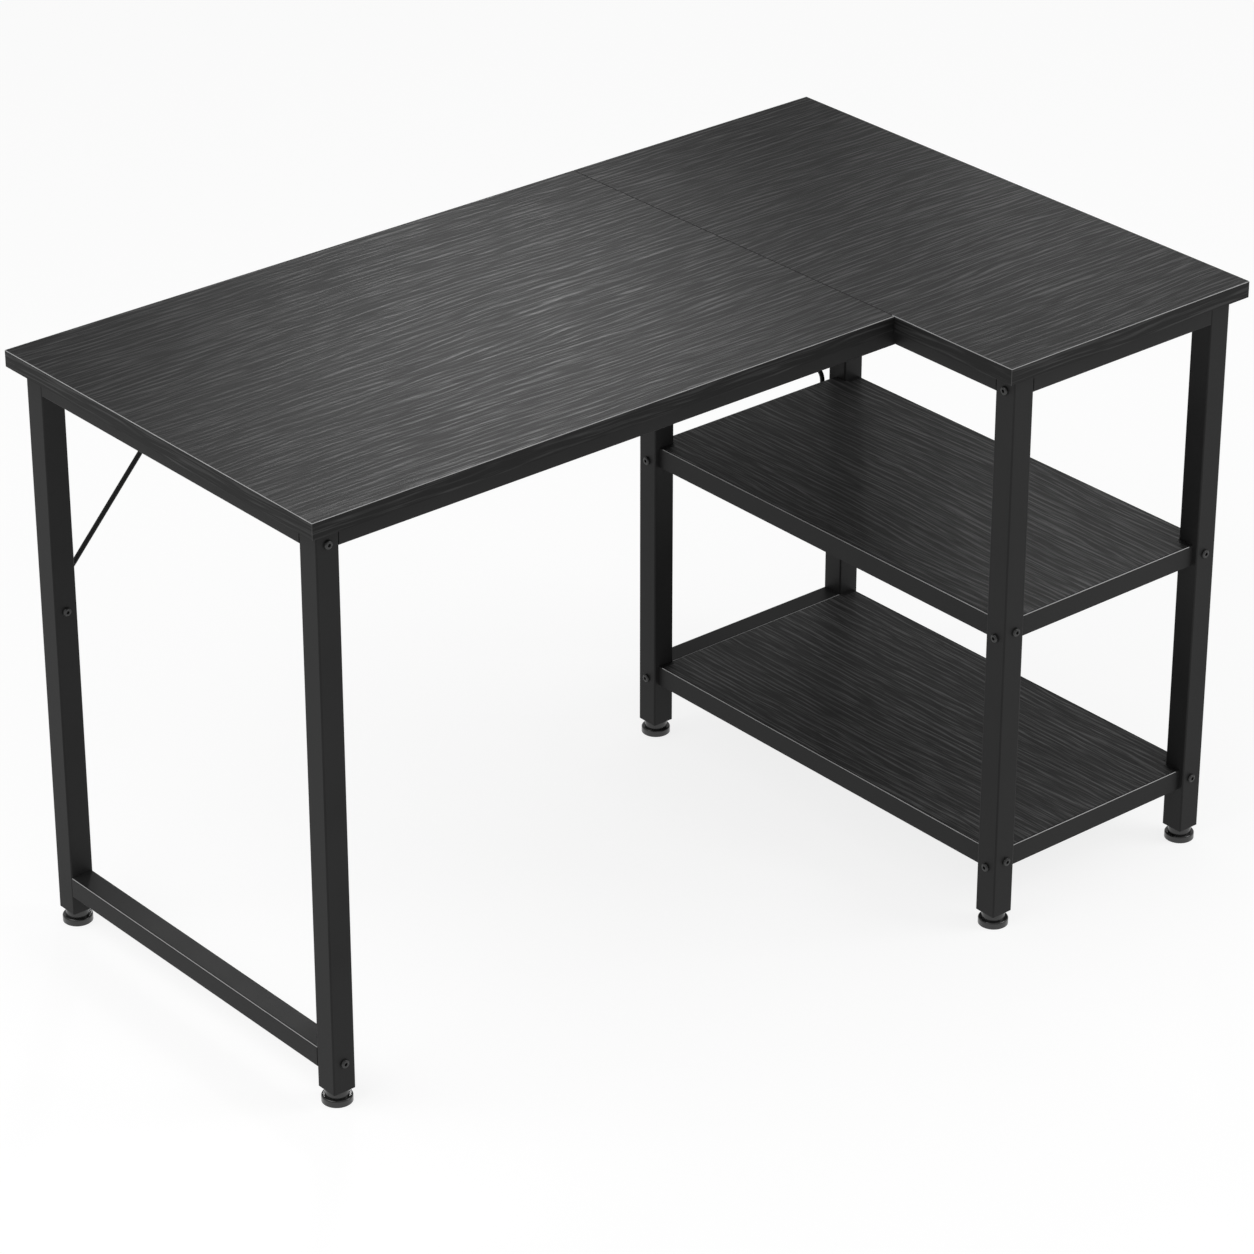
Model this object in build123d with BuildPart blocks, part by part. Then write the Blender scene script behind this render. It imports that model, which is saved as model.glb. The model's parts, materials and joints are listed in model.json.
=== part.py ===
from build123d import *
import os
from math import atan2, cos, degrees, hypot, radians, sin

# Corner desk on a bolted square-tube frame, with two shelves under its side worktop.
# Frame: millimetres, +X right along the back edge, +Y to the back, +Z up.
# Origin: the middle of the desk's footprint, on the floor.

os.makedirs("parts", exist_ok=True)

# ---- overall sizes ----
WIDTH = 1200.0
DEPTH = 760.0
HEIGHT = 735.0
TOP_T = 20.0
MAIN_DEPTH = 570.0
SIDE_WIDTH = 380.0
SEAM = 0.6
BAND = 1.0
ARRIS = 0.6

# ---- legs and rails ----
LEG = 30.0
LEG_WALL = 1.5
LEG_RADIUS = 2.0
LEG_FOOT_Z = 18.0
OVERHANG = 16.0
SIDE_FRONT_INSET = 12.0
RAIL_H = 26.0
RAIL_WALL = 1.2
SIDE_INSET = 18.0
SHELF_LEG_REAR_Y = 246.0
BOTTOM_RAIL_Z = 42.0
HEAD_PLATE_T = 3.0
HEAD_PLATE_L = 78.0
CAP_T = 2.0
CAP_DEPTH = 10.0

# ---- shelves ----
UPPER_SHELF_TOP = 404.0
LOWER_SHELF_TOP = 101.0
SHELF_T = 12.0
SHELF_INSET = 7.0
ANGLE_T = 2.0
FLANGE = 18.0
END_PLATE = 6.0
SHELF_GAP = 0.4
UPPER_TONGUE = 17.0

# ---- fasteners ----
BOLT_R = 3.0
BOLT_LENGTH = 35.0
BOLT_HOLE_R = 3.3
TAP_R = 3.05
HEAD_R = 5.25
HEAD_H = 3.3
HEAD_ROUND = 2.0
SOCKET_AF = 4.0
SOCKET_DEPTH = 2.0
TOP_BOLT_DROP = 20.0
SHELF_BOLT_DROP = 12.0
WOOD_SCREW_R = 2.0
WOOD_HOLE_R = 2.1
WOOD_HEAD_R = 4.0
WOOD_HEAD_H = 2.4
SMALL_SCREW_R = 1.7
SMALL_HOLE_R = 1.8
SMALL_HEAD_R = 3.4
SMALL_HEAD_H = 2.0
PAN_TAPER = 20.0
SMALL_SCREW_LENGTH = 10.0
SHORT_BOLT_LENGTH = 12.0
TOP_SCREW_REACH = 13.0

# ---- feet ----
PAD_R = 18.0
PAD_H = 9.0
PAD_ROUND = 2.2
PAD_CHAMFER = 0.6
NECK_R = 14.0
NECK_ROUND = 0.8
STOP_GAP = 0.3
STUD_R = 4.0
STUD_TOP = 48.0
STUD_BASE = 4.0
STUD_CHAMFER = 0.8
PLUG_H = 22.0
THREAD_GAP = 0.05

# ---- working values: how far cutters run past a face, and a length too small to matter ----
CUT_PAST = 1.0
HAIR = 1e-4

# ---- places worked out from them ----
LEFT = -WIDTH / 2
RIGHT = WIDTH / 2
BACK = DEPTH / 2
FRONT = -DEPTH / 2
MAIN_FRONT = BACK - MAIN_DEPTH
SEAM_X = RIGHT - SIDE_WIDTH
SHELF_LEG_LEFT_X = SEAM_X + SIDE_INSET
SHELF_LEG_RIGHT_X = RIGHT - SIDE_INSET - LEG
UNDER_TOP = HEIGHT - TOP_T
RAIL_Z = UNDER_TOP - RAIL_H

LEFT_X = LEFT + OVERHANG
MAIN_FRONT_Y = MAIN_FRONT + OVERHANG
MAIN_REAR_Y = BACK - OVERHANG - LEG
SHELF_FRONT_Y = FRONT + SIDE_FRONT_INSET
SIDE_RIGHT_END = SHELF_LEG_RIGHT_X + LEG

LEGS = {
    "left_rear": (LEFT_X, MAIN_REAR_Y),
    "left_front": (LEFT_X, MAIN_FRONT_Y),
    "shelf_left_rear": (SHELF_LEG_LEFT_X, SHELF_LEG_REAR_Y),
    "shelf_right_rear": (SHELF_LEG_RIGHT_X, SHELF_LEG_REAR_Y),
    "shelf_left_front": (SHELF_LEG_LEFT_X, SHELF_FRONT_Y),
    "shelf_right_front": (SHELF_LEG_RIGHT_X, SHELF_FRONT_Y),
}
HEADED_LEGS = ("shelf_left_rear", "shelf_right_rear")
SHELVES = {"upper": UPPER_SHELF_TOP, "lower": LOWER_SHELF_TOP}

finished = {}


def keep(part, label):
    """Label a finished piece and write its STEP file."""
    part.label = label
    export_step(part, f"parts/{label}.step")
    finished[label] = part


def leg_centre(name):
    x, y = LEGS[name]
    return x + LEG / 2, y + LEG / 2


# Directions of the holes and bolts, as planes whose normal is the direction.
def plane_at(point, direction):
    """A plane at a point, looking along +X, -X, +Y, -Y, +Z or -Z."""
    normals = {"+X": (1, 0, 0), "-X": (-1, 0, 0), "+Y": (0, 1, 0), "-Y": (0, -1, 0),
               "+Z": (0, 0, 1), "-Z": (0, 0, -1)}
    x_dirs = {"X": (0, 1, 0), "Y": (0, 0, 1), "Z": (1, 0, 0)}
    return Plane(origin=point, x_dir=x_dirs[direction[1]], z_dir=normals[direction])


def drill(point, direction, radius, length):
    """Cut a round hole from the point along the direction, in the part being built."""
    with BuildSketch(plane_at(point, direction)) as hole:
        Circle(radius)
    extrude(hole.sketch, amount=length, mode=Mode.SUBTRACT)


# ---- where the frame bolts go: head position on the outer face, and direction ----
def frame_bolts():
    """Each bolt is (head seat point, direction of the shank)."""
    bolts = []
    rail_mid = RAIL_H / 2
    # the left side frame: top and bottom rails between the two left legs
    for z in (RAIL_Z + RAIL_H - TOP_BOLT_DROP, BOTTOM_RAIL_Z + rail_mid):
        x = LEFT_X + LEG / 2
        bolts.append(((x, MAIN_FRONT_Y, z), "+Y"))
        bolts.append(((x, MAIN_REAR_Y + LEG, z), "-Y"))
    # shelf side rails, front and rear, on both sides
    for top in SHELVES.values():
        z = top - SHELF_BOLT_DROP
        for leg_x, shift in ((SHELF_LEG_LEFT_X, 1), (SHELF_LEG_RIGHT_X, -1)):
            x = leg_x + LEG / 2 + shift * (SHELF_INSET + FLANGE / 2 + ANGLE_T / 2 - LEG / 2)
            bolts.append(((x, SHELF_FRONT_Y, z), "+Y"))
            bolts.append(((x, SHELF_LEG_REAR_Y + LEG, z), "-Y"))
    # front and rear rails of the shelf unit, from its outer side faces
    cross = [(SHELF_FRONT_Y + LEG / 2, UNDER_TOP - TOP_BOLT_DROP)]
    for top in SHELVES.values():
        cross.append((SHELF_FRONT_Y + LEG / 2, top - TOP_BOLT_DROP))
        cross.append((SHELF_LEG_REAR_Y + LEG / 2, top - TOP_BOLT_DROP))
    cross.append((SHELF_LEG_REAR_Y + LEG / 2, UNDER_TOP - TOP_BOLT_DROP))
    for y, z in cross:
        bolts.append(((SHELF_LEG_LEFT_X, y, z), "+X"))
        bolts.append(((SIDE_RIGHT_END, y, z), "-X"))
    # rear apron onto the two side rails of the side worktop
    for leg_x in (SHELF_LEG_LEFT_X, SHELF_LEG_RIGHT_X):
        bolts.append(((leg_x + LEG / 2, MAIN_REAR_Y + LEG, RAIL_Z + rail_mid), "-Y"))
    return bolts


BOLTS = frame_bolts()

# ---- worktop screws: points under the rails ----
MAIN_SCREW_XS = (-440.0, -150.0, 140.0)
MAIN_SCREW_YS = (-20.0, 210.0)
SIDE_SCREW_XS = (345.0, 475.0)
SIDE_SCREW_YS = (-220.0, 70.0)
MAIN_SCREWS = [(x, y + LEG / 2) for y in (MAIN_FRONT_Y, MAIN_REAR_Y) for x in MAIN_SCREW_XS]
MAIN_SCREWS += [(LEFT_X + LEG / 2, y) for y in MAIN_SCREW_YS]
SIDE_SCREWS = [(x + LEG / 2, y) for x in (SHELF_LEG_LEFT_X, SHELF_LEG_RIGHT_X) for y in SIDE_SCREW_YS]
SIDE_SCREWS += [(x, y + LEG / 2) for y in (SHELF_FRONT_Y, MAIN_REAR_Y) for x in SIDE_SCREW_XS]

# ---- shelf screws: points on the ledges of the side rails ----
SHELF_SCREW_YS = (-250.0, 150.0)
LEDGE_MID = SHELF_INSET + ANGLE_T + FLANGE / 2
SHELF_SCREWS = [(x, y) for x in (SHELF_LEG_LEFT_X + LEDGE_MID, SIDE_RIGHT_END - LEDGE_MID)
                for y in SHELF_SCREW_YS]

# ---- joining plates under the seam ----
PLATE_YS = (-60.0, 95.0, 250.0)
PLATE_LENGTH = 34.0
PLATE_WIDTH = 60.0
PLATE_T = 2.0
PLATE_CORNER = 3.0
PLATE_SCREW_X = 9.0
PLATE_SCREW_Y = 18.0
PLATE_SCREWS = [(SEAM_X + sx * PLATE_SCREW_X, y + sy * PLATE_SCREW_Y)
                for y in PLATE_YS for sx in (-1, 1) for sy in (-1, 1)]

# ---- angle brackets: inner corner, and the way each flange runs ----
BRACKET_ARM = 22.0
BRACKET_H = 18.0
BRACKET_T = 2.0
SIDE_LEFT_INNER = SHELF_LEG_LEFT_X + LEG
BRACKETS = [
    (LEFT_X + LEG, MAIN_FRONT_Y + LEG, 1, 1),
    (SHELF_LEG_LEFT_X, MAIN_FRONT_Y + LEG, -1, 1),
    (LEFT_X + LEG, MAIN_REAR_Y, 1, -1),
    (SIDE_LEFT_INNER, SHELF_FRONT_Y + LEG, 1, 1),
    (SHELF_LEG_RIGHT_X, SHELF_FRONT_Y + LEG, -1, 1),
]
BRACKET_Z = RAIL_Z + RAIL_H / 2


def bracket_screws():
    """Head seat points and directions of the screws of the angle brackets."""
    screws = []
    middle = BRACKET_ARM / 2 + BRACKET_T / 2
    for x, y, sx, sy in BRACKETS:
        apron_way = "-Y" if sy > 0 else "+Y"
        rail_way = "-X" if sx > 0 else "+X"
        screws.append(((x + sx * middle, y + sy * BRACKET_T, BRACKET_Z), apron_way))
        screws.append(((x + sx * BRACKET_T, y + sy * middle, BRACKET_Z), rail_way))
    return screws


# ---- braces ----
ROD_R = 3.0
TAB_T = 2.5
TAB_W = 16.0
TAB_L = 22.0
LEFT_BRACE_LOW = (LEFT_X + LEG / 2, 415.0)
LEFT_BRACE_HIGH = (-310.0, RAIL_Z + RAIL_H / 2)
LEFT_BRACE_Y = MAIN_REAR_Y + LEG
RIGHT_BRACE_Y = SHELF_LEG_REAR_Y + LEG
ROD_TO_LEG = 8.0
ROD_TO_SCREW = 9.0
RIGHT_ROD_X = SHELF_LEG_RIGHT_X - ROD_TO_LEG
RIGHT_LOW_SCREW = (RIGHT_ROD_X - ROD_TO_SCREW, UPPER_SHELF_TOP - SHELF_T - RAIL_H / 2)
RIGHT_HIGH_SCREW = (SHELF_LEG_LEFT_X + LEG / 2, 655.0)
RIGHT_BEND_R = 28.0
RIGHT_BEND_Z = UPPER_SHELF_TOP - 10.0
EYE_GAP = 3.5
RIVET_R = 4.5
RIVET_LENGTH = 9.0
NUT_AF = 10.0
NUT_H = 5.0
BOLT_PROUD = 1.5
BRACE_POINTS = [
    (LEFT_BRACE_HIGH[0], LEFT_BRACE_Y, LEFT_BRACE_HIGH[1]),
    (RIGHT_LOW_SCREW[0], RIGHT_BRACE_Y, RIGHT_LOW_SCREW[1]),
    (RIGHT_HIGH_SCREW[0], RIGHT_BRACE_Y, RIGHT_HIGH_SCREW[1]),
]


def drill_fasteners(low, high):
    """Cut the holes of every bolt, screw and rivet nut that passes the box low..high."""
    reach = BOLT_LENGTH + CUT_PAST
    for point, way in BOLTS:
        if touches(point, way, reach, low, high):
            drill(point, way, BOLT_HOLE_R, LEG)
    for point, way in bracket_screws():
        if touches(point, way, SMALL_SCREW_LENGTH, low, high):
            drill(point, way, SMALL_HOLE_R, SMALL_SCREW_LENGTH)
    for x, y in MAIN_SCREWS + SIDE_SCREWS:
        if touches((x, y, RAIL_Z), "+Z", RAIL_H, low, high):
            drill((x, y, RAIL_Z), "+Z", WOOD_HOLE_R, RAIL_H)
    for point in BRACE_POINTS:
        if touches(point, "-Y", RIVET_LENGTH, low, high):
            drill(point, "-Y", RIVET_R, RIVET_LENGTH)


def touches(point, way, reach, low, high):
    """True where a straight line from the point runs into the box low..high."""
    axis = "XYZ".index(way[1])
    sign = 1 if way[0] == "+" else -1
    ends = sorted((point[axis], point[axis] + sign * reach))
    inside = all(low[i] < point[i] < high[i] for i in range(3) if i != axis)
    return inside and ends[0] < high[axis] - HAIR and ends[1] > low[axis] + HAIR


# ---- worktops ----
def worktop(x0, x1, y0, y1, screws):
    """A board's core with the pilot holes of its screws in the underside."""
    centre = ((x0 + x1) / 2, (y0 + y1) / 2)
    with BuildPart() as board:
        with BuildSketch(Plane.XY.offset(UNDER_TOP)):
            with Locations(centre):
                Rectangle(x1 - x0, y1 - y0)
        extrude(amount=TOP_T)
        with BuildSketch(Plane.XY.offset(UNDER_TOP)):
            with Locations(*screws):
                Circle(WOOD_HOLE_R)
        extrude(amount=TOP_SCREW_REACH + CUT_PAST, mode=Mode.SUBTRACT)
        inside = [p for p in PLATE_SCREWS if x0 < p[0] < x1]
        with BuildSketch(Plane.XY.offset(UNDER_TOP)):
            with Locations(*inside):
                Circle(SMALL_HOLE_R)
        extrude(amount=SMALL_SCREW_LENGTH - PLATE_T + CUT_PAST, mode=Mode.SUBTRACT)
    return board.part


def edge_band(points):
    """A strip of edge band along an open outline, inside of it, its outer arrises broken."""
    with BuildPart() as band:
        with BuildSketch(Plane.XY.offset(UNDER_TOP)):
            for (ax, ay), (bx, by) in zip(points, points[1:]):
                # the strip lies on the left of its direction of travel
                length = hypot(bx - ax, by - ay)
                nx, ny = -(by - ay) / length, (bx - ax) / length
                corners = [(ax, ay), (bx, by), (bx + nx * BAND, by + ny * BAND),
                           (ax + nx * BAND, ay + ny * BAND)]
                with BuildLine():
                    Polyline(*corners, close=True)
                make_face()
        extrude(amount=TOP_T)
        upper = band.edges().filter_by(Plane.XY).group_by(Axis.Z)[-1]
        outer = [edge for edge in upper if on_outline(edge, points)]
        corners = {(round(x, 3), round(y, 3)) for x, y in points[1:-1]}
        for edge in band.edges().filter_by(Axis.Z):
            middle = edge @ 0.5
            if (round(middle.X, 3), round(middle.Y, 3)) in corners:
                outer.append(edge)
        chamfer(outer, ARRIS)
    return band.part


def on_outline(edge, points):
    """True where an edge's middle lies on the open outline through the points."""
    middle = edge @ 0.5
    for (ax, ay), (bx, by) in zip(points, points[1:]):
        length = hypot(bx - ax, by - ay)
        ux, uy = (bx - ax) / length, (by - ay) / length
        along = (middle.X - ax) * ux + (middle.Y - ay) * uy
        aside = abs((middle.X - ax) * uy - (middle.Y - ay) * ux)
        if aside < HAIR and 0 < along < length:
            return True
    return False


main_right = SEAM_X - SEAM / 2
side_left = SEAM_X + SEAM / 2
keep(worktop(LEFT + BAND, main_right, MAIN_FRONT + BAND, BACK - BAND, MAIN_SCREWS), "main_worktop")
keep(worktop(side_left + BAND, RIGHT - BAND, FRONT + BAND, BACK - BAND, SIDE_SCREWS), "side_worktop")
keep(edge_band([(main_right, BACK), (LEFT, BACK), (LEFT, MAIN_FRONT), (main_right, MAIN_FRONT)]),
     "main_edge_band")
keep(edge_band([(RIGHT, BACK), (side_left, BACK), (side_left, FRONT), (RIGHT, FRONT), (RIGHT, BACK)]),
     "side_edge_band")


# ---- shelves ----
def cut_clear(x0, x1, y0, y1):
    """Cut a rectangle, and the shelf's gap all round it, out of the sketch being drawn."""
    with Locations(((x0 + x1) / 2, (y0 + y1) / 2)):
        Rectangle(x1 - x0 + 2 * SHELF_GAP, y1 - y0 + 2 * SHELF_GAP, mode=Mode.SUBTRACT)


def shelf_board(top, tongue):
    """A shelf cut round the legs and the rails' end plates; it runs back between the rear legs."""
    outer = SHELF_INSET + ANGLE_T + SHELF_GAP
    width = SIDE_RIGHT_END - SHELF_LEG_LEFT_X - 2 * outer
    front = SHELF_FRONT_Y + outer
    back = SHELF_LEG_REAR_Y + tongue - SHELF_GAP
    plate_w = ANGLE_T + FLANGE
    with BuildPart() as board:
        with BuildSketch(Plane.XY.offset(top - SHELF_T)):
            with Locations(((SHELF_LEG_LEFT_X + SIDE_RIGHT_END) / 2, (front + back) / 2)):
                Rectangle(width, back - front)
            for name, (x, y) in LEGS.items():
                if not name.startswith("shelf"):
                    continue
                cut_clear(x, x + LEG, y, y + LEG)
                left = x + SHELF_INSET if x == SHELF_LEG_LEFT_X else x + LEG - SHELF_INSET - plate_w
                if y == SHELF_LEG_REAR_Y:
                    cut_clear(left, left + plate_w, y - END_PLATE, y)
                else:
                    side = x + LEG if x == SHELF_LEG_LEFT_X else x - END_PLATE
                    cut_clear(left, left + plate_w, y + LEG, y + LEG + END_PLATE)
                    cut_clear(side, side + END_PLATE, y + SHELF_INSET, y + SHELF_INSET + plate_w)
        extrude(amount=SHELF_T)
        with BuildSketch(Plane.XY.offset(top - SHELF_T)):
            with Locations(*SHELF_SCREWS):
                Circle(SMALL_HOLE_R)
        extrude(amount=SMALL_SCREW_LENGTH - ANGLE_T + CUT_PAST, mode=Mode.SUBTRACT)
    return board.part


keep(shelf_board(UPPER_SHELF_TOP, UPPER_TONGUE), "upper_shelf")
keep(shelf_board(LOWER_SHELF_TOP, 0.0), "lower_shelf")


# ---- legs ----
def leg(name):
    """A square tube leg; the rear shelf legs stop under a head plate."""
    x, y = LEGS[name]
    centre = leg_centre(name)
    headed = name in HEADED_LEGS
    tube_top = RAIL_Z - HEAD_PLATE_T if headed else UNDER_TOP
    with BuildPart() as tube:
        with BuildSketch(Plane.XY.offset(LEG_FOOT_Z)):
            with Locations(centre):
                RectangleRounded(LEG, LEG, LEG_RADIUS)
                RectangleRounded(LEG - 2 * LEG_WALL, LEG - 2 * LEG_WALL, LEG_RADIUS - LEG_WALL,
                                 mode=Mode.SUBTRACT)
        extrude(amount=tube_top - LEG_FOOT_Z)
        if headed:
            with BuildSketch(Plane.XY.offset(tube_top)):
                with Locations(centre):
                    Rectangle(LEG, HEAD_PLATE_L)
                with Locations(*head_screw_points(name)):
                    Circle(BOLT_HOLE_R, mode=Mode.SUBTRACT)
            extrude(amount=HEAD_PLATE_T)
        drill_fasteners((x, y, LEG_FOOT_Z), (x + LEG, y + LEG, tube_top))
        if name == "left_rear":
            drill((LEFT_BRACE_LOW[0], y, LEFT_BRACE_LOW[1]), "+Y", BOLT_HOLE_R, LEG)
    return tube.part


def head_screw_points(name):
    cx, cy = leg_centre(name)
    step = (HEAD_PLATE_L + LEG) / 4
    return [(cx, cy - step), (cx, cy + step)]


for name in LEGS:
    keep(leg(name), f"{name}_leg")


# ---- tube rails ----
def rail(along, start, length, low, wide=LEG, high=RAIL_H):
    """A rectangular tube rail. start is its lowest x and y, low its lowest z."""
    x, y = start
    if along == "X":
        plane = Plane(origin=(x, y + wide / 2, low + high / 2), x_dir=(0, 1, 0), z_dir=(1, 0, 0))
        size = (length, wide)
    else:
        plane = Plane(origin=(x + wide / 2, y, low + high / 2), x_dir=(-1, 0, 0), z_dir=(0, 1, 0))
        size = (wide, length)
    with BuildPart() as tube:
        with BuildSketch(plane):
            RectangleRounded(wide, high, LEG_RADIUS)
            RectangleRounded(wide - 2 * RAIL_WALL, high - 2 * RAIL_WALL, LEG_RADIUS - RAIL_WALL,
                             mode=Mode.SUBTRACT)
        extrude(amount=length)
        drill_fasteners((x, y, low), (x + size[0], y + size[1], low + high))
        if low == RAIL_Z:
            for point in head_screw_tops():
                if touches(point, "+Z", RAIL_WALL, (x, y, low), (x + size[0], y + size[1], low + high)):
                    drill(point, "+Z", TAP_R, SHORT_BOLT_LENGTH)
    return tube.part


def head_screw_tops():
    return [(x, y, RAIL_Z) for name in HEADED_LEGS for x, y in head_screw_points(name)]


side_rail_y = SHELF_FRONT_Y + LEG
side_rail_length = MAIN_REAR_Y - side_rail_y
cross_length = SHELF_LEG_RIGHT_X - SIDE_LEFT_INNER
left_rail_y = MAIN_FRONT_Y + LEG
left_rail_length = MAIN_REAR_Y - left_rail_y
apron_x = LEFT_X + LEG

RAILS = {
    "left_top_rail": ("Y", (LEFT_X, left_rail_y), left_rail_length, RAIL_Z),
    "left_bottom_rail": ("Y", (LEFT_X, left_rail_y), left_rail_length, BOTTOM_RAIL_Z),
    "front_apron": ("X", (apron_x, MAIN_FRONT_Y), SHELF_LEG_LEFT_X - apron_x, RAIL_Z),
    "rear_apron": ("X", (apron_x, MAIN_REAR_Y), SIDE_RIGHT_END - apron_x, RAIL_Z),
    "side_left_top_rail": ("Y", (SHELF_LEG_LEFT_X, side_rail_y), side_rail_length, RAIL_Z),
    "side_right_top_rail": ("Y", (SHELF_LEG_RIGHT_X, side_rail_y), side_rail_length, RAIL_Z),
    "side_front_apron": ("X", (SIDE_LEFT_INNER, SHELF_FRONT_Y), cross_length, RAIL_Z),
    "cross_rail": ("X", (SIDE_LEFT_INNER, SHELF_LEG_REAR_Y), cross_length, RAIL_Z),
    "upper_shelf_rear_rail": ("X", (SIDE_LEFT_INNER, SHELF_LEG_REAR_Y), cross_length,
                              UPPER_SHELF_TOP - SHELF_T - RAIL_H),
    "lower_shelf_rear_rail": ("X", (SIDE_LEFT_INNER, SHELF_LEG_REAR_Y), cross_length,
                              LOWER_SHELF_TOP - RAIL_H),
}
for name, (along, start, length, low) in RAILS.items():
    keep(rail(along, start, length, low), name)


# ---- tapped nuts in the rails' ends ----
def end_nut(along, at, start, low, inward):
    """A steel block that fills a rail's mouth; at is that end, inward is +1 or -1 into the rail."""
    wide = LEG - 2 * RAIL_WALL
    high = RAIL_H - 2 * RAIL_WALL
    if along == "X":
        plane = Plane(origin=(at, start[1] + LEG / 2, low + RAIL_H / 2), x_dir=(0, 1, 0), z_dir=(1, 0, 0))
    else:
        plane = Plane(origin=(start[0] + LEG / 2, at, low + RAIL_H / 2), x_dir=(-1, 0, 0), z_dir=(0, 1, 0))
    with BuildPart() as nut:
        with BuildSketch(plane):
            RectangleRounded(wide, high, LEG_RADIUS - RAIL_WALL)
        extrude(amount=inward * END_PLATE)
        size = nut.part.bounding_box()
        for point, way in BOLTS:
            low_corner = (size.min.X, size.min.Y, size.min.Z)
            high_corner = (size.max.X, size.max.Y, size.max.Z)
            if touches(point, way, BOLT_LENGTH, low_corner, high_corner):
                drill(point, way, TAP_R, LEG + END_PLATE + CUT_PAST)
    return nut.part


nuts = []
for name, (along, start, length, low) in RAILS.items():
    axis = "XY".index(along)
    near, far = start[axis], start[axis] + length
    if name in ("front_apron", "rear_apron"):
        continue
    if name not in ("side_left_top_rail", "side_right_top_rail"):
        nuts.append(end_nut(along, near, start, low, 1))
    nuts.append(end_nut(along, far, start, low, -1))
keep(Compound(children=nuts), "rail_end_nuts")


# ---- shelf side and front rails: an upright flange with a ledge, and a plate at each end ----
def ledge_rail(across, start, length, top, flip):
    """A rail whose upright flange hides the board's edge and whose ledge carries the board.

    across is the direction from the upright flange to the ledge; start is the outer corner."""
    x, y = start
    plane = Plane(origin=(x, y, top), x_dir=across, z_dir=flip)
    with BuildPart() as bar:
        with BuildSketch(plane):
            with BuildLine():
                Polyline((0, -ARRIS), (ARRIS, 0), (ANGLE_T, 0), (ANGLE_T, -SHELF_T),
                         (ANGLE_T + FLANGE, -SHELF_T),
                         (ANGLE_T + FLANGE, -SHELF_T - ANGLE_T), (ANGLE_T, -SHELF_T - ANGLE_T),
                         (ANGLE_T, -RAIL_H), (0, -RAIL_H), close=True)
            make_face()
        extrude(amount=length)
        with BuildSketch(plane, plane.offset(length - END_PLATE)):
            with Locations((ANGLE_T / 2 + FLANGE / 2, -RAIL_H / 2)):
                Rectangle(ANGLE_T + FLANGE, RAIL_H)
        extrude(amount=END_PLATE)
        size = bar.part.bounding_box()
        low_corner = (size.min.X, size.min.Y, size.min.Z)
        high_corner = (size.max.X, size.max.Y, size.max.Z)
        for point, way in BOLTS:
            if touches(point, way, BOLT_LENGTH, low_corner, high_corner):
                drill(point, way, TAP_R, LEG + END_PLATE + CUT_PAST)
        for sx, sy in SHELF_SCREWS:
            screw = (sx, sy, top - SHELF_T - ANGLE_T - CUT_PAST)
            if touches(screw, "+Z", ANGLE_T + 2 * CUT_PAST, low_corner, high_corner):
                drill(screw, "+Z", SMALL_HOLE_R, ANGLE_T + 2 * CUT_PAST)
    return bar.part


side_length = SHELF_LEG_REAR_Y - side_rail_y
for level, top in SHELVES.items():
    # the sketch plane's own +Y is up: (across) x (up) = direction of the extrusion
    keep(ledge_rail((1, 0, 0), (SHELF_LEG_LEFT_X + SHELF_INSET, SHELF_LEG_REAR_Y), side_length, top,
                    (0, -1, 0)), f"{level}_shelf_left_rail")
    keep(ledge_rail((-1, 0, 0), (SIDE_RIGHT_END - SHELF_INSET, side_rail_y), side_length, top,
                    (0, 1, 0)), f"{level}_shelf_right_rail")
    keep(ledge_rail((0, 1, 0), (SIDE_LEFT_INNER, SHELF_FRONT_Y + SHELF_INSET), cross_length, top,
                    (1, 0, 0)), f"{level}_shelf_front_rail")


# ---- bolts and screws ----
def button_bolt(point, way, length):
    """A button-head bolt with a hexagon socket; point is the centre of the head's seat."""
    seat = plane_at(point, way)
    crown = plane_at(point, ("-" if way[0] == "+" else "+") + way[1])
    with BuildPart() as bolt:
        with BuildSketch(seat):
            Circle(BOLT_R)
        extrude(amount=length)
        with BuildSketch(crown):
            Circle(HEAD_R)
        extrude(amount=HEAD_H)
        rim = bolt.edges().filter_by(GeomType.CIRCLE).sort_by(Axis(crown.origin, crown.z_dir))[-1]
        fillet(rim, HEAD_ROUND)
        with BuildSketch(crown.offset(HEAD_H - SOCKET_DEPTH)):
            RegularPolygon(SOCKET_AF / 2, 6, major_radius=False)
        extrude(amount=SOCKET_DEPTH + CUT_PAST, mode=Mode.SUBTRACT)
    return bolt.part


def pan_screw(point, way, radius, length, head_r, head_h):
    """A screw with a low pan head; point is the centre of the head's seat."""
    crown = plane_at(point, ("-" if way[0] == "+" else "+") + way[1])
    with BuildPart() as screw:
        with BuildSketch(plane_at(point, way)):
            Circle(radius)
        extrude(amount=length)
        with BuildSketch(crown):
            Circle(head_r)
        extrude(amount=head_h, taper=PAN_TAPER)
    return screw.part


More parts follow.
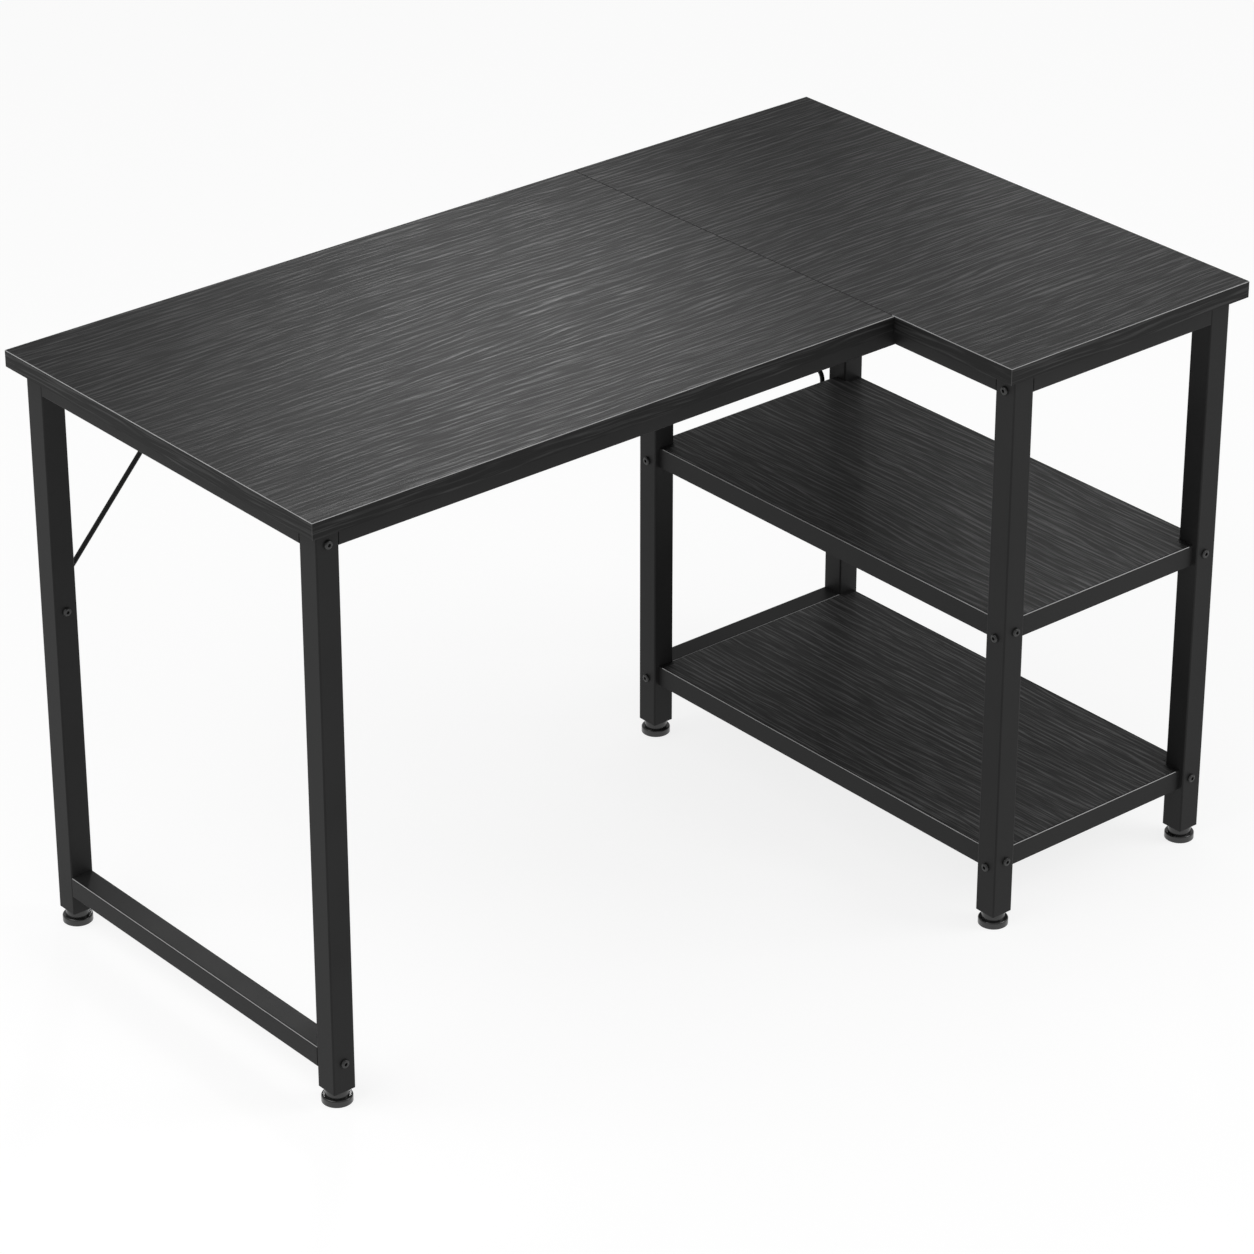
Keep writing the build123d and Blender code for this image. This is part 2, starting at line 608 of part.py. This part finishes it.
keep(Compound(children=[button_bolt(point, way, BOLT_LENGTH) for point, way in BOLTS]), "frame_bolts")
keep(Compound(children=[pan_screw((x, y, RAIL_Z), "+Z", WOOD_SCREW_R, RAIL_H + TOP_SCREW_REACH,
                                  WOOD_HEAD_R, WOOD_HEAD_H) for x, y in MAIN_SCREWS + SIDE_SCREWS]),
     "worktop_screws")
small_seats = [((x, y, UNDER_TOP - PLATE_T), "+Z") for x, y in PLATE_SCREWS]
small_seats += [((x, y, top - SHELF_T - ANGLE_T), "+Z") for top in SHELVES.values()
                for x, y in SHELF_SCREWS]
small_seats += bracket_screws()
keep(Compound(children=[pan_screw(point, way, SMALL_SCREW_R, SMALL_SCREW_LENGTH, SMALL_HEAD_R,
                                  SMALL_HEAD_H) for point, way in small_seats]), "small_screws")
short_seats = [((x, y, z - HEAD_PLATE_T), "+Z") for x, y, z in head_screw_tops()]
short_seats += [((x, y + TAB_T, z), "-Y") for x, y, z in BRACE_POINTS]
keep(Compound(children=[button_bolt(point, way, SHORT_BOLT_LENGTH) for point, way in short_seats]),
     "short_bolts")


# ---- joining plates and brackets ----
def joining_plate(y):
    with BuildPart() as plate:
        with BuildSketch(Plane.XY.offset(UNDER_TOP - PLATE_T)):
            with Locations((SEAM_X, y)):
                RectangleRounded(PLATE_LENGTH, PLATE_WIDTH, PLATE_CORNER)
                with GridLocations(2 * PLATE_SCREW_X, 2 * PLATE_SCREW_Y, 2, 2):
                    Circle(SMALL_HOLE_R, mode=Mode.SUBTRACT)
        extrude(amount=PLATE_T)
    return plate.part


def angle_bracket(x, y, sx, sy):
    with BuildPart() as bracket:
        with BuildSketch(Plane.XY.offset(BRACKET_Z - BRACKET_H / 2)):
            with BuildLine():
                Polyline((x, y), (x + sx * BRACKET_ARM, y), (x + sx * BRACKET_ARM, y + sy * BRACKET_T),
                         (x + sx * BRACKET_T, y + sy * BRACKET_T),
                         (x + sx * BRACKET_T, y + sy * BRACKET_ARM), (x, y + sy * BRACKET_ARM), close=True)
            make_face()
        extrude(amount=BRACKET_H)
        middle = BRACKET_ARM / 2 + BRACKET_T / 2
        across = ("-Y" if sy > 0 else "+Y", "-X" if sx > 0 else "+X")
        drill((x + sx * middle, y + sy * BRACKET_T, BRACKET_Z), across[0], SMALL_HOLE_R, BRACKET_T)
        drill((x + sx * BRACKET_T, y + sy * middle, BRACKET_Z), across[1], SMALL_HOLE_R, BRACKET_T)
    return bracket.part


keep(Compound(children=[joining_plate(y) for y in PLATE_YS]), "joining_plates")
keep(Compound(children=[angle_bracket(*place) for place in BRACKETS]), "angle_brackets")


# ---- braces ----
def brace_tab(point, face_y, angle):
    """A flattened eye against the face at face_y, its length at an angle to +X in the XZ plane."""
    x, z = point
    ux, uz = cos(radians(angle)), sin(radians(angle))
    plane = Plane(origin=(x, face_y, z), x_dir=(ux, 0, uz), z_dir=(0, 1, 0))
    with BuildSketch(plane) as eye:
        with Locations(((TAB_L - TAB_W) / 2, 0)):
            SlotOverall(TAB_L, TAB_W)
    extrude(eye.sketch, amount=TAB_T)
    with BuildSketch(plane) as hole:
        Circle(BOLT_HOLE_R)
    extrude(hole.sketch, amount=ROD_R * 2 + CUT_PAST, mode=Mode.SUBTRACT)


def point_along(point, angle, distance):
    return point[0] + cos(radians(angle)) * distance, point[1] + sin(radians(angle)) * distance


eye_to_rod = HEAD_R + EYE_GAP
left_angle = degrees(atan2(LEFT_BRACE_HIGH[1] - LEFT_BRACE_LOW[1], LEFT_BRACE_HIGH[0] - LEFT_BRACE_LOW[0]))
rod_low = point_along(LEFT_BRACE_LOW, left_angle, eye_to_rod)
rod_high = point_along(LEFT_BRACE_HIGH, left_angle, -eye_to_rod)
with BuildPart() as left_brace:
    rod_y = LEFT_BRACE_Y + ROD_R
    with BuildLine():
        left_path = Line((rod_low[0], rod_y, rod_low[1]), (rod_high[0], rod_y, rod_high[1]))
    with BuildSketch(Plane(origin=left_path @ 0, z_dir=left_path % 0)):
        Circle(ROD_R)
    sweep(path=left_path)
    brace_tab(LEFT_BRACE_LOW, LEFT_BRACE_Y, left_angle)
    brace_tab(LEFT_BRACE_HIGH, LEFT_BRACE_Y, left_angle + 180)
keep(left_brace.part, "left_brace")

# The bent brace: up from the upper shelf's rear rail, round a bend, and straight to the left leg.
bend_x = RIGHT_ROD_X - RIGHT_BEND_R
with BuildPart() as bent_brace:
    rod_y = RIGHT_BRACE_Y + ROD_R
    # angle of the straight run that is tangent to the bend and ends at the upper screw's side
    reach_x = bend_x - RIGHT_HIGH_SCREW[0]
    reach_z = RIGHT_HIGH_SCREW[1] - RIGHT_BEND_Z
    span = hypot(reach_x, reach_z)
    tangent_length = (span ** 2 - RIGHT_BEND_R ** 2) ** 0.5
    slope = degrees(atan2(reach_z, reach_x) - atan2(RIGHT_BEND_R, tangent_length))
    turn = 90 - slope
    tangent = (bend_x + RIGHT_BEND_R * cos(radians(turn)), RIGHT_BEND_Z + RIGHT_BEND_R * sin(radians(turn)))
    run_end = point_along(RIGHT_HIGH_SCREW, -slope, eye_to_rod)
    with BuildLine(Plane(origin=(0, rod_y, 0), x_dir=(1, 0, 0), z_dir=(0, -1, 0))) as bent_path:
        Line((RIGHT_ROD_X, RIGHT_LOW_SCREW[1] - ROD_R), (RIGHT_ROD_X, RIGHT_BEND_Z))
        CenterArc((bend_x, RIGHT_BEND_Z), RIGHT_BEND_R, 0, turn)
        Line(tangent, run_end)
    with BuildSketch(Plane(origin=(RIGHT_ROD_X, rod_y, RIGHT_LOW_SCREW[1] - ROD_R), z_dir=(0, 0, 1))):
        Circle(ROD_R)
    sweep(path=bent_path.line)
    brace_tab(RIGHT_LOW_SCREW, RIGHT_BRACE_Y, 0)
    brace_tab(RIGHT_HIGH_SCREW, RIGHT_BRACE_Y, -slope)
keep(bent_brace.part, "bent_brace")

through_point = (LEFT_BRACE_LOW[0], MAIN_REAR_Y, LEFT_BRACE_LOW[1])
through_length = LEG + TAB_T + NUT_H + BOLT_PROUD
keep(button_bolt(through_point, "+Y", through_length), "brace_through_bolt")

with BuildPart() as brace_nut:
    with BuildSketch(plane_at((LEFT_BRACE_LOW[0], LEFT_BRACE_Y + TAB_T, LEFT_BRACE_LOW[1]), "+Y")):
        RegularPolygon(NUT_AF / 2, 6, major_radius=False)
        Circle(TAP_R, mode=Mode.SUBTRACT)
    extrude(amount=NUT_H)
keep(brace_nut.part, "brace_lock_nut")


def rivet_nut(point):
    """A blind rivet nut set in a tube wall, flush with the outer face."""
    with BuildPart() as insert:
        with BuildSketch(plane_at(point, "-Y")):
            Circle(RIVET_R)
            Circle(TAP_R, mode=Mode.SUBTRACT)
        extrude(amount=RIVET_LENGTH)
    return insert.part


keep(Compound(children=[rivet_nut(point) for point in BRACE_POINTS]), "rivet_nuts")


# ---- the cap in the open right end of the rear apron ----
cap_plane = Plane(origin=(SIDE_RIGHT_END, MAIN_REAR_Y + LEG / 2, RAIL_Z + RAIL_H / 2),
                  x_dir=(0, 1, 0), z_dir=(1, 0, 0))
with BuildPart() as end_cap:
    with BuildSketch(cap_plane):
        RectangleRounded(LEG, RAIL_H, LEG_RADIUS)
    extrude(amount=CAP_T)
    with BuildSketch(cap_plane):
        RectangleRounded(LEG - 2 * RAIL_WALL, RAIL_H - 2 * RAIL_WALL, LEG_RADIUS - RAIL_WALL)
    extrude(amount=-CAP_DEPTH)
keep(end_cap.part, "rear_apron_cap")


# ---- feet: threaded plug in the leg, stud, and round pad with a neck ----
for name in LEGS:
    cx, cy = leg_centre(name)
    inner = LEG - 2 * LEG_WALL
    with BuildPart() as plug:
        with BuildSketch(Plane.XY.offset(LEG_FOOT_Z)):
            with Locations((cx, cy)):
                RectangleRounded(inner, inner, LEG_RADIUS - LEG_WALL)
                Circle(STUD_R + THREAD_GAP, mode=Mode.SUBTRACT)
        extrude(amount=PLUG_H)
    keep(plug.part, f"{name}_leg_plug")

    with BuildPart() as stud:
        with BuildSketch(Plane.XY.offset(STUD_BASE)):
            with Locations((cx, cy)):
                Circle(STUD_R)
        extrude(amount=STUD_TOP - STUD_BASE)
        chamfer(stud.edges().group_by(Axis.Z)[-1], STUD_CHAMFER)
    keep(stud.part, f"{name}_foot_stud")

    with BuildPart() as pad:
        with BuildSketch(Plane.XY):
            with Locations((cx, cy)):
                Circle(PAD_R)
        extrude(amount=PAD_H)
        fillet(pad.edges().group_by(Axis.Z)[-1], PAD_ROUND)
        chamfer(pad.edges().group_by(Axis.Z)[0], PAD_CHAMFER)
        with BuildSketch(Plane.XY.offset(PAD_H)):
            with Locations((cx, cy)):
                Circle(NECK_R)
        extrude(amount=LEG_FOOT_Z - STOP_GAP - PAD_H)
        fillet(pad.edges().group_by(Axis.Z)[-1], NECK_ROUND)
        with BuildSketch(Plane.XY.offset(STUD_BASE)):
            with Locations((cx, cy)):
                Circle(STUD_R)
        extrude(amount=LEG_FOOT_Z - STUD_BASE, mode=Mode.SUBTRACT)
    keep(pad.part, f"{name}_foot_pad")

box = Compound(children=list(finished.values())).bounding_box()
print(f"{len(finished)} pieces, box {box.min} to {box.max}")
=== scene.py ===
import json
from math import cos, radians, sin

import bpy
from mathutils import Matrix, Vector


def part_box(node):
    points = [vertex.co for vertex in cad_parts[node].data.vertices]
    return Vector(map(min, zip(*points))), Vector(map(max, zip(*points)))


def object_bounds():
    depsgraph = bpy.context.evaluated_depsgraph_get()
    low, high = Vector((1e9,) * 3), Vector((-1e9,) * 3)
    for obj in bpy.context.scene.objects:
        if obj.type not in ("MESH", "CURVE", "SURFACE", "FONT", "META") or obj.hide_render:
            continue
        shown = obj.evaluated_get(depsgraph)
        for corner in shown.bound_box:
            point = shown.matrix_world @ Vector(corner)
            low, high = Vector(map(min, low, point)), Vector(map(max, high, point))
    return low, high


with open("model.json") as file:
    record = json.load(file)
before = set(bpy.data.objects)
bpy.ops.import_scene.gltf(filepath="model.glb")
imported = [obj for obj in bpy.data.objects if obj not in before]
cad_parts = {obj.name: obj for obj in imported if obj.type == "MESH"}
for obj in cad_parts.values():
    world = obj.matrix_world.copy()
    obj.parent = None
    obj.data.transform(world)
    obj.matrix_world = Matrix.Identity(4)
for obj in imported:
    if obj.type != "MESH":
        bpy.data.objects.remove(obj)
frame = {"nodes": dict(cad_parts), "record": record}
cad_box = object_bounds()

nodes = frame["nodes"]
record = frame["record"]
low, high = cad_box
centre = (low + high) / 2
seam_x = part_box("side_worktop")[0][0]
seam_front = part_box("main_worktop")[0][1]

# Layers of the wood grain: noise cells per metre along the grain, cells per metre across it, seed offset, detail.
WANDER = (1.6, 3.6, 0.0, 2.0)
RAGGED = (17.0, 30.0, 2.2, 2.0)
SWAY = (4.5, 48.0, 4.1, 2.0)
BREAKS = (16.0, 190.0, 0.0, 1.0)
FINE = (13.0, 560.0, 5.6, 1.0)
PORES = (40.0, 800.0, 3.1, 2.0)
BEND = (2.2, 8.0, 7.7, 1.0)
FIGURE = (1.6, 3.6, 0.0, 1.0)
TONE = (2.4, 26.0, 1.9, 2.0)
FIGURE_SCALE = 1.7
WANDER_REACH = 0.04     # metres that the slow wander moves a line sideways
RAGGED_REACH = 0.0032   # and its ragged part
LINE_RATE = 760.0       # radians of the drawn lines' wave in a metre across the grain
LINE_SWAY = 16.0        # radians that the sway shifts that wave
RING_RATE = 560.0       # radians of the rings' wave in a metre
RING_BEND = 0.2         # metres that the rings bend

COMMON = (0.3, 0.7)     # the range that holds most values of a noise

FLOOR_HALF = 30.0
FLOOR_DIFFUSE = 0.9
FLOOR_GLOW = 1.13
FLOOR_GLOW_SHARE = 0.72
WORLD_STRENGTH = 0.5

# The sheen's direction mirrors the camera's over the level tops.
SHEEN_AZIMUTH, SHEEN_ELEVATION = 140, 28
SHEEN_DISTANCE = 4.2
SHEEN_RADIUS = 0.2

CAMERA_AZIMUTH, CAMERA_ELEVATION = -40.11, 27.56
CAMERA_DISTANCE = 5.6
CAMERA_AIM = (-0.013, 0.0019, -0.0266)
CAMERA_LENS = 137.8
CAMERA_SENSOR = 36.0
CAMERA_CLIP_END = 100.0


# ---------------------------------------------------------------- node helpers
class Graph:
    """A material's node tree, with short calls that make a node and return its output."""

    def __init__(self, name):
        self.material = bpy.data.materials.new(name)
        self.material.use_nodes = True
        self.tree = self.material.node_tree
        self.tree.nodes.clear()

    def fill(self, socket, value):
        if isinstance(value, bpy.types.NodeSocket):
            self.tree.links.new(value, socket)
        else:
            socket.default_value = value

    def make(self, kind, values=None, **settings):
        made = self.tree.nodes.new(kind)
        for key, value in settings.items():
            setattr(made, key, value)
        for key, value in (values or {}).items():
            self.fill(made.inputs[key], value)
        return made

    def maths(self, operation, a, b=0.0, c=0.0):
        return self.make("ShaderNodeMath", {0: a, 1: b, 2: c}, operation=operation).outputs[0]

    def magnitude(self, value):
        return self.maths("ABSOLUTE", value)

    def join(self, x, y, z):
        return self.make("ShaderNodeCombineXYZ", {0: x, 1: y, 2: z}).outputs[0]

    def split(self, vector):
        return self.make("ShaderNodeSeparateXYZ", {0: vector}).outputs

    def place(self):
        return self.make("ShaderNodeTexCoord").outputs["Object"]

    def facing(self):
        return self.split(self.make("ShaderNodeNewGeometry").outputs["True Normal"])

    def noise(self, vector, scale=1.0, detail=2.0):
        return self.make("ShaderNodeTexNoise", {"Vector": vector, "Scale": scale, "Detail": detail}).outputs[0]

    def layer(self, along, across, kind, seed, scale=1.0):
        """One layer of the wood grain: noise that is stretched along the grain."""
        along_cells, across_cells, offset, detail = kind
        place = self.join(self.maths("MULTIPLY", along, along_cells), self.maths("MULTIPLY", across, across_cells),
                          seed + offset)
        return self.noise(place, scale=scale, detail=detail)

    def span(self, value, from_low, from_high, to_low=0.0, to_high=1.0, smooth=False):
        kind = "SMOOTHSTEP" if smooth else "LINEAR"
        return self.make("ShaderNodeMapRange", {0: value, 1: from_low, 2: from_high, 3: to_low, 4: to_high},
                         interpolation_type=kind).outputs[0]

    def mix(self, factor, a, b):
        return self.make("ShaderNodeMix", {0: factor, 6: a, 7: b}, data_type="RGBA").outputs[2]

    def bump(self, height, strength, distance):
        return self.make("ShaderNodeBump", {"Height": height, "Strength": strength,
                                            "Distance": distance}).outputs[0]

    def end(self, shader):
        self.tree.links.new(shader.outputs[0], self.make("ShaderNodeOutputMaterial").inputs[0])
        return self.material

    def finish(self, **values):
        """Close the tree with a Principled shader. An underscore in a key stands for a space in the socket's name."""
        shader = self.make("ShaderNodeBsdfPrincipled")
        for key, value in values.items():
            self.fill(shader.inputs[key.replace("_", " ")], value)
        return self.end(shader)


def grey(value):
    return (value, value, value, 1.0)


# ---------------------------------------------------------------- materials
def wood_lines(graph, along, across, seed):
    """A pressed grain's lines: returns the warped place across the grain, the ridges 0..1 and the pores' noise."""
    lane = graph.maths("MULTIPLY_ADD", graph.layer(along, across, WANDER, seed), WANDER_REACH, across)
    lane = graph.maths("MULTIPLY_ADD", graph.layer(along, across, RAGGED, seed), RAGGED_REACH, lane)
    sway = graph.layer(along, lane, SWAY, seed)
    phase = graph.maths("MULTIPLY_ADD", sway, LINE_SWAY, graph.maths("MULTIPLY", lane, LINE_RATE))
    drawn = graph.span(graph.maths("SINE", phase), 0.1, 0.9)
    drawn = graph.maths("MULTIPLY", drawn, graph.span(graph.layer(along, lane, BREAKS, seed), 0.34, 0.6))
    fine = graph.span(graph.layer(along, lane, FINE, seed), 0.54, 0.68, 0.0, 0.7)
    return lane, graph.maths("MAXIMUM", drawn, fine), graph.layer(along, lane, PORES, seed)


def wood_figure(graph, along, across, lane, seed):
    """A wide board's cathedral rings, 0..1, and its broad tone's noise."""
    bend = graph.maths("MULTIPLY_ADD", graph.layer(along, across, BEND, seed), RING_BEND, lane)
    rings = graph.span(graph.maths("SINE", graph.maths("MULTIPLY", bend, RING_RATE)), -1.0, 1.0)
    figure = graph.span(graph.layer(along, across, FIGURE, seed, scale=FIGURE_SCALE), 0.5, 0.64, smooth=True)
    return graph.maths("MULTIPLY", rings, figure), graph.layer(along, lane, TONE, seed)


def laminate(name, grain, seed, painted_brightening=1.0):
    """Charcoal wood-grain laminate, its grain along X or Y, painted a little paler, to make up for shade, when its
    brightening factor is over 1.
    """
    # a factor over 1 paints the board paler, standing in for the light that the shade under the worktops takes away
    valley, ridge = grey(0.0095 * painted_brightening), grey(0.04 * painted_brightening)
    broad, ring, pore = grey(0.014), grey(0.03), grey(0.005)
    chip_dark, chip_pale = grey(0.008), grey(0.018)
    graph = Graph(name)
    spot = graph.split(graph.place())
    along, across = (spot[0], spot[1]) if grain == "X" else (spot[1], spot[0])
    lane, ridges, pores = wood_lines(graph, along, across, seed)
    rings, tone = wood_figure(graph, along, across, lane, seed)
    body = graph.mix(ridges, valley, ridge)
    body = graph.mix(graph.span(tone, 0.35, 0.7, 0.0, 0.3), body, broad)
    body = graph.mix(graph.maths("MULTIPLY", rings, 0.25), body, ring)
    body = graph.mix(graph.span(pores, 0.44, 0.34, 0.0, 0.8), body, pore)
    # the grain is printed on the faces only; a board's cut edges show plain chips
    face = graph.span(graph.magnitude(graph.facing()[2]), 0.5, 0.6)
    chips = graph.noise(graph.join(spot[0], spot[1], spot[2]), scale=420.0, detail=3.0)
    body = graph.mix(face, graph.mix(graph.span(chips, *COMMON), chip_dark, chip_pale), body)
    height = graph.maths("MULTIPLY_ADD", graph.span(pores, 0.34, 0.46), 0.4, ridges)
    height = graph.maths("MULTIPLY", height, face)
    return graph.finish(Base_Color=body, Roughness=graph.span(ridges, 0.0, 1.0, 0.55, 0.42),
                        Specular_IOR_Level=0.22, Normal=graph.bump(height, 0.4, 0.0004))


def edge_tape(name):
    """Edge band: finer grain along its run, with a painted highlight on the slanted upper arris."""
    valley, ridge, pore, painted_highlight = grey(0.005), grey(0.026), grey(0.005), grey(0.45)
    graph = Graph(name)
    spot = graph.split(graph.place())
    facing = graph.facing()
    abs_x, abs_y, abs_z = (graph.magnitude(axis) for axis in facing)
    side = graph.maths("GREATER_THAN", abs_x, 0.71)
    along = graph.make("ShaderNodeMix", {0: side, 2: spot[0], 3: spot[1]}, data_type="FLOAT").outputs[0]
    ridges, pores = wood_lines(graph, along, spot[2], 5.3)[1:]
    body = graph.mix(ridges, valley, ridge)
    body = graph.mix(graph.span(pores, 0.42, 0.32, 0.0, 0.5), body, pore)
    # a slanting normal marks an arris, which gets a painted highlight; the upright ones and those at the tops' seam
    # stay dark
    flat = graph.maths("MAXIMUM", graph.maths("MAXIMUM", abs_x, abs_y), abs_z)
    arris = graph.span(flat, 0.92, 0.8)
    upright = graph.span(abs_z, 0.3, 0.5, 0.12, 1.0)
    at_seam = graph.maths("LESS_THAN", graph.magnitude(graph.maths("SUBTRACT", spot[0], seam_x)), 0.004)
    at_seam = graph.maths("MULTIPLY", at_seam, graph.maths("GREATER_THAN", spot[1], seam_front + 0.003))
    arris = graph.maths("MULTIPLY", graph.maths("MULTIPLY", arris, upright), graph.maths("SUBTRACT", 1.0, at_seam))
    # the painted arris highlight is mixed in, its strength varying in patches
    highlight_patchiness = graph.noise(graph.join(spot[0], spot[1], spot[2]), scale=55.0, detail=3.0)
    highlight_patchiness = graph.span(highlight_patchiness, *COMMON, 0.75, 1.0)
    body = graph.mix(graph.maths("MULTIPLY", arris, highlight_patchiness), body, painted_highlight)
    return graph.finish(Base_Color=body, Roughness=graph.span(ridges, 0.0, 1.0, 0.52, 0.44),
                        Specular_IOR_Level=0.17, Normal=graph.bump(ridges, 0.3, 0.0003))


def powder_coat(name, rail_highlight_tone=0.0):
    """Satin black powder coat: orange peel, a cloudy tone, a faint speckle; a painted highlight tone for a rail's
    upper arris.
    """
    graph = Graph(name)
    place = graph.place()
    cloud = graph.noise(place, scale=7.0, detail=3.0)
    speck = graph.noise(place, scale=1500.0, detail=1.0)
    peel = graph.noise(place, scale=520.0)
    body = graph.mix(graph.span(cloud, *COMMON), grey(0.0145), grey(0.02))
    body = graph.mix(graph.span(speck, 0.62, 0.78, 0.0, 0.5), body, grey(0.035))
    if rail_highlight_tone:
        # painted highlight: a paler tone on the rail's slanting upper arris
        up = graph.facing()[2]
        arris = graph.maths("MULTIPLY", graph.span(up, 0.5, 0.65), graph.span(up, 0.9, 0.75))
        body = graph.mix(arris, body, grey(rail_highlight_tone))
    return graph.finish(Base_Color=body, Roughness=graph.span(cloud, *COMMON, 0.4, 0.5),
                        Specular_IOR_Level=0.11, Normal=graph.bump(peel, 0.18, 0.0002))


def black_oxide(name):
    """Blackened steel of the bolts, between satin and gloss."""
    graph = Graph(name)
    place = graph.place()
    cloud = graph.noise(place, scale=260.0, detail=3.0)
    return graph.finish(Base_Color=graph.mix(graph.span(cloud, *COMMON), grey(0.038), grey(0.06)),
                        Roughness=graph.span(cloud, *COMMON, 0.3, 0.44), Metallic=0.75,
                        Normal=graph.bump(graph.noise(place, scale=1400.0), 0.12, 0.0001))


def zinc(name):
    """Bright zinc plate, with fine turned lines round an upright stud."""
    graph = Graph(name)
    place = graph.place()
    cloud = graph.noise(place, scale=120.0, detail=4.0)
    turned = graph.make("ShaderNodeVectorMath", {0: place, 1: (60.0, 60.0, 1600.0)}, operation="MULTIPLY")
    return graph.finish(Base_Color=graph.mix(graph.span(cloud, *COMMON), grey(0.5), grey(0.66)),
                        Roughness=graph.span(cloud, *COMMON, 0.26, 0.42), Metallic=1.0,
                        Normal=graph.bump(graph.noise(turned.outputs[0]), 0.15, 0.0001))


def moulded(name, tone, rough, gloss):
    """Moulded black plastic with a fine spark-eroded texture."""
    graph = Graph(name)
    place = graph.place()
    cloud = graph.noise(place, scale=60.0, detail=3.0)
    return graph.finish(Base_Color=graph.mix(graph.span(cloud, *COMMON), grey(tone * 0.8), grey(tone * 1.25)),
                        Roughness=graph.span(cloud, *COMMON, rough * 0.85, rough * 1.15),
                        Specular_IOR_Level=gloss,
                        Normal=graph.bump(graph.noise(place, scale=1900.0), 0.1, 0.0001))


by_slot = {
    "laminate": laminate("laminate_worktop", "X", 0.0),
    "edge_band": edge_tape("edge_tape"),
    "frame_steel": powder_coat("satin_powder_coat"),
    "black_hardware": black_oxide("black_oxide_steel"),
    "zinc_steel": zinc("zinc_plated_steel"),
    "foot_plastic": moulded("foot_gloss_plastic", 0.012, 0.2, 0.6),
    "plug_plastic": moulded("plug_matte_plastic", 0.018, 0.55, 0.4),
}
own = {
    "side_worktop": laminate("laminate_side_worktop", "X", 4.4),
    # the shelves are painted paler to make up for the shade under the worktops
    "upper_shelf": laminate("laminate_upper_shelf", "Y", 9.2, painted_brightening=1.85),
    "lower_shelf": laminate("laminate_lower_shelf", "Y", 12.6, painted_brightening=2.3),
}
# the rails' coat gets the painted arris highlight
rail_coat = powder_coat("satin_powder_coat_rails", rail_highlight_tone=0.5)
own["left_bottom_rail"] = rail_coat
for shelf in ("upper_shelf", "lower_shelf"):
    for rail in ("left", "right", "front", "rear"):
        own[f"{shelf}_{rail}_rail"] = rail_coat

for part in record["subparts"]:
    shown = nodes[part["node"]]
    paint = own.get(part["node"], by_slot[part["material_slot"]])
    if not shown.material_slots:
        shown.data.materials.append(paint)
    for slot in shown.material_slots:
        slot.material = paint


# ---------------------------------------------------------------- objects round the desk
def add_object(name, data):
    made = bpy.data.objects.new(name, data)
    bpy.context.collection.objects.link(made)
    return made


def place_round(made, azimuth, elevation, distance, aim):
    """Put a lamp or the camera at an azimuth (0 is in front, 90 at the right) and elevation from aim, facing it."""
    azimuth, elevation = radians(azimuth), radians(elevation)
    away = Vector((sin(azimuth) * cos(elevation), -cos(azimuth) * cos(elevation), sin(elevation)))
    made.location = aim + away * distance
    made.rotation_mode = "QUATERNION"
    made.rotation_quaternion = away.to_track_quat("Z", "Y")


# ---------------------------------------------------------------- floor
def make_floor():
    """A pale floor that glows a little, so that it stays near white and still takes soft shadows."""
    mesh = bpy.data.meshes.new("studio_floor")
    corners = [(x * FLOOR_HALF, y * FLOOR_HALF, low.z) for x, y in ((-1, -1), (1, -1), (1, 1), (-1, 1))]
    mesh.from_pydata(corners, [], [(0, 1, 2, 3)])
    graph = Graph("pale_floor")
    diffuse = graph.make("ShaderNodeBsdfDiffuse", {"Color": grey(FLOOR_DIFFUSE)})
    glow = graph.make("ShaderNodeEmission", {"Color": grey(1.0), "Strength": FLOOR_GLOW})
    blend = graph.make("ShaderNodeMixShader", {0: FLOOR_GLOW_SHARE, 1: diffuse.outputs[0], 2: glow.outputs[0]})
    mesh.materials.append(graph.end(blend))
    floor = add_object("studio_floor", mesh)


make_floor()


# ---------------------------------------------------------------- light
world = bpy.data.worlds.new("studio")
bpy.context.scene.world = world
world.use_nodes = True
world.node_tree.nodes["Background"].inputs[0].default_value = grey(1.0)
world.node_tree.nodes["Background"].inputs[1].default_value = WORLD_STRENGTH


def softbox(name, azimuth, elevation, distance, side, power, offset=(0.0, 0.0, 0.0)):
    """A square softbox that faces a point at an offset from the desk's centre."""
    light = bpy.data.lights.new(name, "AREA")
    light.shape = "RECTANGLE"
    light.size = light.size_y = side
    light.energy = power
    place_round(add_object(name, light), azimuth, elevation, distance, centre + Vector(offset))


def grid_spot(name, cone, power, offset):
    """A gridded spot whose soft pool of sheen falls round a point at an offset from the desk's centre."""
    light = bpy.data.lights.new(name, "SPOT")
    light.shadow_soft_size = SHEEN_RADIUS
    light.spot_size = radians(cone)
    light.spot_blend = 1.0
    light.energy = power
    place_round(add_object(name, light), SHEEN_AZIMUTH, SHEEN_ELEVATION, SHEEN_DISTANCE, centre + Vector(offset))


softbox("key_left", -100, 46, 2.7, 1.8, 20.5)
softbox("fill_right", 40, 34, 3.0, 1.4, 21, (0.45, -0.1, 0.0))
grid_spot("sheen_spot", 14.5, 112, (-0.29, -0.09, 0.36))
grid_spot("corner_sheen_spot", 10, 55, (0.44, -0.36, 0.36))
grid_spot("rail_sheen_spot", 9, 80, (-0.57, 0.08, -0.3))
grid_spot("shelf_sheen_spot", 7, 45, (0.48, -0.26, 0.04))


# ---------------------------------------------------------------- camera
def make_camera():
    """The photograph's viewing angle, without a lens shift."""
    data = bpy.data.cameras.new("photo_camera")
    data.sensor_width = CAMERA_SENSOR
    data.lens = CAMERA_LENS
    data.clip_end = CAMERA_CLIP_END
    camera = add_object("photo_camera", data)
    place_round(camera, CAMERA_AZIMUTH, CAMERA_ELEVATION, CAMERA_DISTANCE, centre + Vector(CAMERA_AIM))
    bpy.context.scene.camera = camera


make_camera()
bpy.context.scene.view_settings.view_transform = "Standard"
